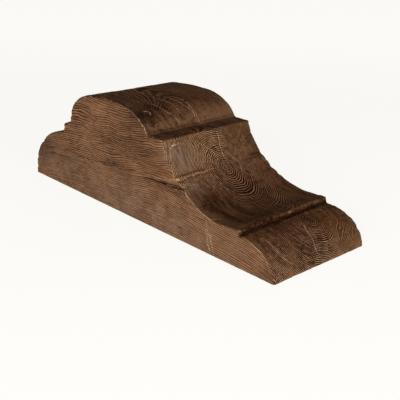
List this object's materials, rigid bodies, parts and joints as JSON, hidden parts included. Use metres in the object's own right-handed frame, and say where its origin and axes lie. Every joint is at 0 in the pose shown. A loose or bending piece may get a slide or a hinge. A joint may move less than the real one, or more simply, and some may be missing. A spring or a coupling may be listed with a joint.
{
  "type": "corbel",
  "caption": "Carved wooden corbel: a broad roll over a ledge, a long hollow and a fillet, with a quarter round at each end of its flat fixing face.",
  "frame": {"origin": "centre of the flat fixing face", "axes": "+X along the block to its thin end, +Y across to the far side, +Z out of the fixing face to the crown of the roll"},
  "size_m": [0.4024, 0.12, 0.1175],
  "materials": {
    "stained_wood": "dark stain over brushed grain, matt, with pale worn arrises"
  },
  "bodies": {
    "root": {"corbel": "stained_wood"}
  },
  "joints": []
}
